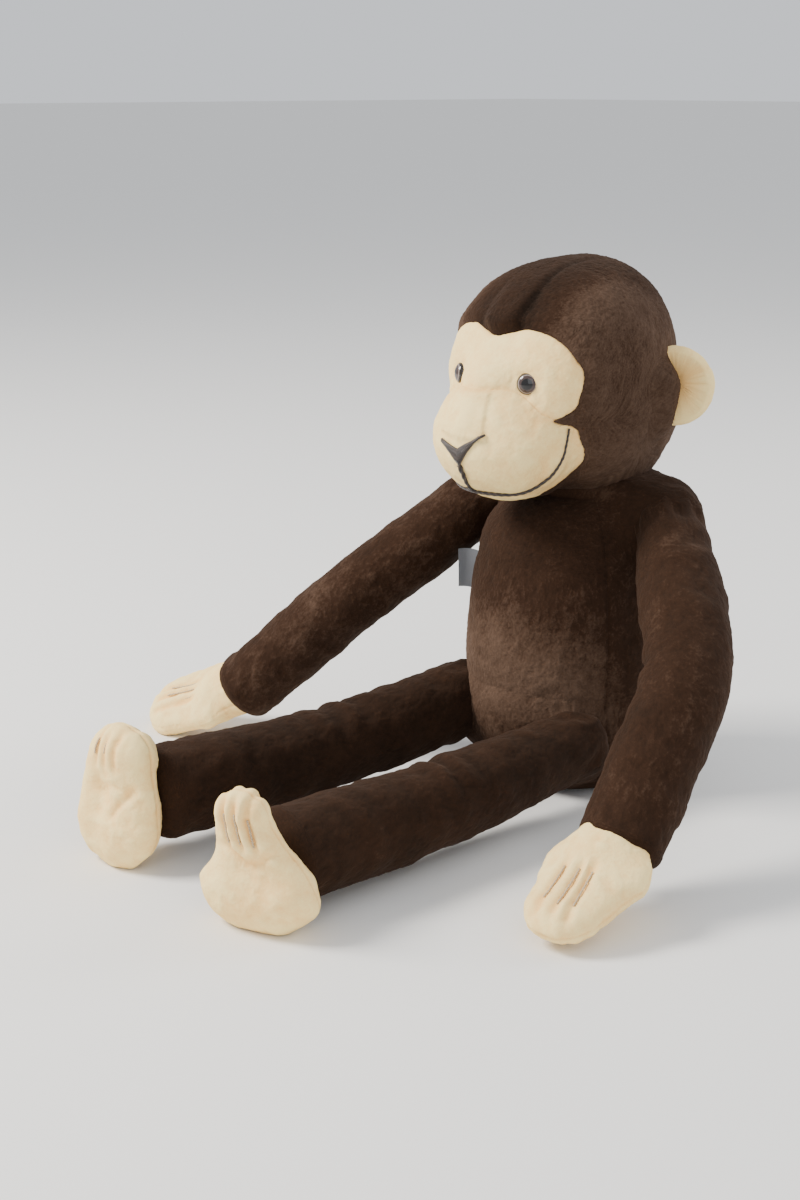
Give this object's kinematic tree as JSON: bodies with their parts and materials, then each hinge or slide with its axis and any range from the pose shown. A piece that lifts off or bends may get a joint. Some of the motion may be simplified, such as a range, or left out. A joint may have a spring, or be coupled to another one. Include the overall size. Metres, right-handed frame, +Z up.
{
  "type": "stuffed monkey",
  "caption": "Sitting plush monkey with a round cream muzzle, side ears, a pear-shaped body and long soft arms and legs that bend at every limb joint.",
  "frame": {"origin": "centre of the flat seat face that the monkey sits on", "axes": "+Z up out of the seat, -Y the way the face looks, +X the monkey's left side"},
  "size_m": [0.3534, 0.3063, 0.2585],
  "materials": {
    "brown_plush": "soft short-pile plush",
    "cream_velour": "short-nap velour",
    "embroidery": "satin stitch",
    "cream_thread": "sewing thread",
    "brown_thread": "sewing thread",
    "eye": "polished",
    "washer": "matt",
    "stuffing": "polyester fibre",
    "pellet_bag": "woven cloth filled with plastic pellets",
    "label": "plain woven ribbon"
  },
  "bodies": {
    "torso": {"body_front_panel": "brown_plush", "body_back_left_panel": "brown_plush", "body_back_right_panel": "brown_plush", "seat_panel": "brown_plush", "body_stuffing": "stuffing", "pellet_bag": "pellet_bag"},
    "neck": {"neck_seam": "brown_thread"},
    "head": {"face_mask": "cream_velour", "head_crown_gusset": "brown_plush", "head_left_panel": "brown_plush", "head_right_panel": "brown_plush", "muzzle_panel": "cream_velour", "chin_panel": "cream_velour", "mouth_embroidery": "embroidery", "nose_embroidery": "embroidery", "head_stuffing": "stuffing", "left_eye": "eye", "right_eye": "eye", "eye_washers": "washer"},
    "label": {"side_label": "label"},
    "left_shoulder": {"left_shoulder_seam": "brown_thread"},
    "left_upper_arm": {"left_upper_sleeve": "brown_plush", "left_upper_arm_stuffing": "stuffing"},
    "left_forearm": {"left_lower_sleeve": "brown_plush", "left_forearm_stuffing": "stuffing"},
    "left_hand": {"left_hand_back": "cream_velour", "left_hand_palm": "cream_velour", "left_hand_stuffing": "stuffing", "left_finger_stitches": "cream_thread"},
    "left_hip": {"left_hip_seam": "brown_thread"},
    "left_thigh": {"left_thigh_sleeve": "brown_plush", "left_thigh_stuffing": "stuffing"},
    "left_shin": {"left_shin_sleeve": "brown_plush", "left_shin_stuffing": "stuffing"},
    "left_foot": {"left_foot_sole": "cream_velour", "left_foot_top": "cream_velour", "left_foot_stuffing": "stuffing", "left_toe_stitches": "cream_thread"},
    "left_ear": {"left_ear_front": "cream_velour", "left_ear_back": "cream_velour"},
    "right_shoulder": {"right_shoulder_seam": "brown_thread"},
    "right_upper_arm": {"right_upper_sleeve": "brown_plush", "right_upper_arm_stuffing": "stuffing"},
    "right_forearm": {"right_lower_sleeve": "brown_plush", "right_forearm_stuffing": "stuffing"},
    "right_hand": {"right_hand_back": "cream_velour", "right_hand_palm": "cream_velour", "right_hand_stuffing": "stuffing", "right_finger_stitches": "cream_thread"},
    "right_hip": {"right_hip_seam": "brown_thread"},
    "right_thigh": {"right_thigh_sleeve": "brown_plush", "right_thigh_stuffing": "stuffing"},
    "right_shin": {"right_shin_sleeve": "brown_plush", "right_shin_stuffing": "stuffing"},
    "right_foot": {"right_foot_sole": "cream_velour", "right_foot_top": "cream_velour", "right_foot_stuffing": "stuffing", "right_toe_stitches": "cream_thread"},
    "right_ear": {"right_ear_front": "cream_velour", "right_ear_back": "cream_velour"}
  },
  "joints": [
    {"name": "neck_turn", "type": "hinge", "parent": "torso", "child": "neck", "pos_m": [0, 0, 0.146], "axis": [0, 0, 1], "range_deg": [-40, 40]},
    {"name": "neck_nod", "type": "hinge", "parent": "neck", "child": "head", "pos_m": [0, 0, 0.146], "axis": [1, 0, 0], "range_deg": [-22, 8]},
    {"name": "left_shoulder_swing", "type": "hinge", "parent": "torso", "child": "left_shoulder", "pos_m": [0.0585, 0.003, 0.137], "axis": [1, 0, 0], "range_deg": [-80, 70]},
    {"name": "left_shoulder_spread", "type": "hinge", "parent": "left_shoulder", "child": "left_upper_arm", "pos_m": [0.0585, 0.003, 0.137], "axis": [0, -0.5977, 0.8017], "range_deg": [-9, 30]},
    {"name": "left_elbow", "type": "hinge", "parent": "left_upper_arm", "child": "left_forearm", "pos_m": [0.114, -0.052, 0.096], "axis": [0.364, 0.7642, -0.5324], "range_deg": [-54, 22]},
    {"name": "left_wrist", "type": "hinge", "parent": "left_forearm", "child": "left_hand", "pos_m": [0.126, -0.103, 0.031], "axis": [-0.9613, -0.2756, 0], "range_deg": [-45, 18]},
    {"name": "left_hip_spread", "type": "hinge", "parent": "torso", "child": "left_hip", "pos_m": [0.039, -0.038, 0.023], "axis": [0, 0, 1], "range_deg": [-3, 20]},
    {"name": "left_hip_swing", "type": "hinge", "parent": "left_hip", "child": "left_thigh", "pos_m": [0.039, -0.038, 0.023], "axis": [1, 0, 0], "range_deg": [-27, 60]},
    {"name": "left_knee", "type": "hinge", "parent": "left_thigh", "child": "left_shin", "pos_m": [0.0385, -0.124, 0.0245], "axis": [1, 0, 0], "range_deg": [-45, 55]},
    {"name": "left_ankle", "type": "hinge", "parent": "left_shin", "child": "left_foot", "pos_m": [0.038, -0.21, 0.026], "axis": [0.9397, 0.342, 0], "range_deg": [-20, 25]},
    {"name": "left_ear_fold", "type": "hinge", "parent": "head", "child": "left_ear", "pos_m": [0.045, 0.014, 0.2025], "axis": [0, 0, 1], "range_deg": [-25, 20]},
    {"name": "right_shoulder_swing", "type": "hinge", "parent": "torso", "child": "right_shoulder", "pos_m": [-0.0585, 0.003, 0.137], "axis": [1, 0, 0], "range_deg": [-80, 70], "deforming": ["side_label"]},
    {"name": "right_shoulder_spread", "type": "hinge", "parent": "right_shoulder", "child": "right_upper_arm", "pos_m": [-0.0585, 0.003, 0.137], "axis": [0, 0.5353, -0.8446], "range_deg": [-9, 30]},
    {"name": "right_elbow", "type": "hinge", "parent": "right_upper_arm", "child": "right_forearm", "pos_m": [-0.092, -0.068, 0.092], "axis": [0.7574, 0.055, -0.6506], "range_deg": [-49, 55]},
    {"name": "right_wrist", "type": "hinge", "parent": "right_forearm", "child": "right_hand", "pos_m": [-0.142, -0.101, 0.031], "axis": [-0.3746, 0.9272, 0], "range_deg": [-45, 18]},
    {"name": "right_hip_spread", "type": "hinge", "parent": "torso", "child": "right_hip", "pos_m": [-0.039, -0.038, 0.023], "axis": [0, 0, -1], "range_deg": [-3, 30]},
    {"name": "right_hip_swing", "type": "hinge", "parent": "right_hip", "child": "right_thigh", "pos_m": [-0.039, -0.038, 0.023], "axis": [1, 0, 0], "range_deg": [-27, 60]},
    {"name": "right_knee", "type": "hinge", "parent": "right_thigh", "child": "right_shin", "pos_m": [-0.0425, -0.126, 0.0265], "axis": [1, 0, 0], "range_deg": [-45, 55]},
    {"name": "right_ankle", "type": "hinge", "parent": "right_shin", "child": "right_foot", "pos_m": [-0.046, -0.214, 0.03], "axis": [0.9781, -0.2079, 0], "range_deg": [-20, 25]},
    {"name": "right_ear_fold", "type": "hinge", "parent": "head", "child": "right_ear", "pos_m": [-0.045, 0.014, 0.2025], "axis": [0, 0, -1], "range_deg": [-25, 20]},
    {"name": "label_flap", "type": "hinge", "parent": "torso", "child": "label", "pos_m": [-0.04618, -0.02455, 0.1], "axis": [0, 0, 1], "range_deg": [-60, 60]}
  ]
}
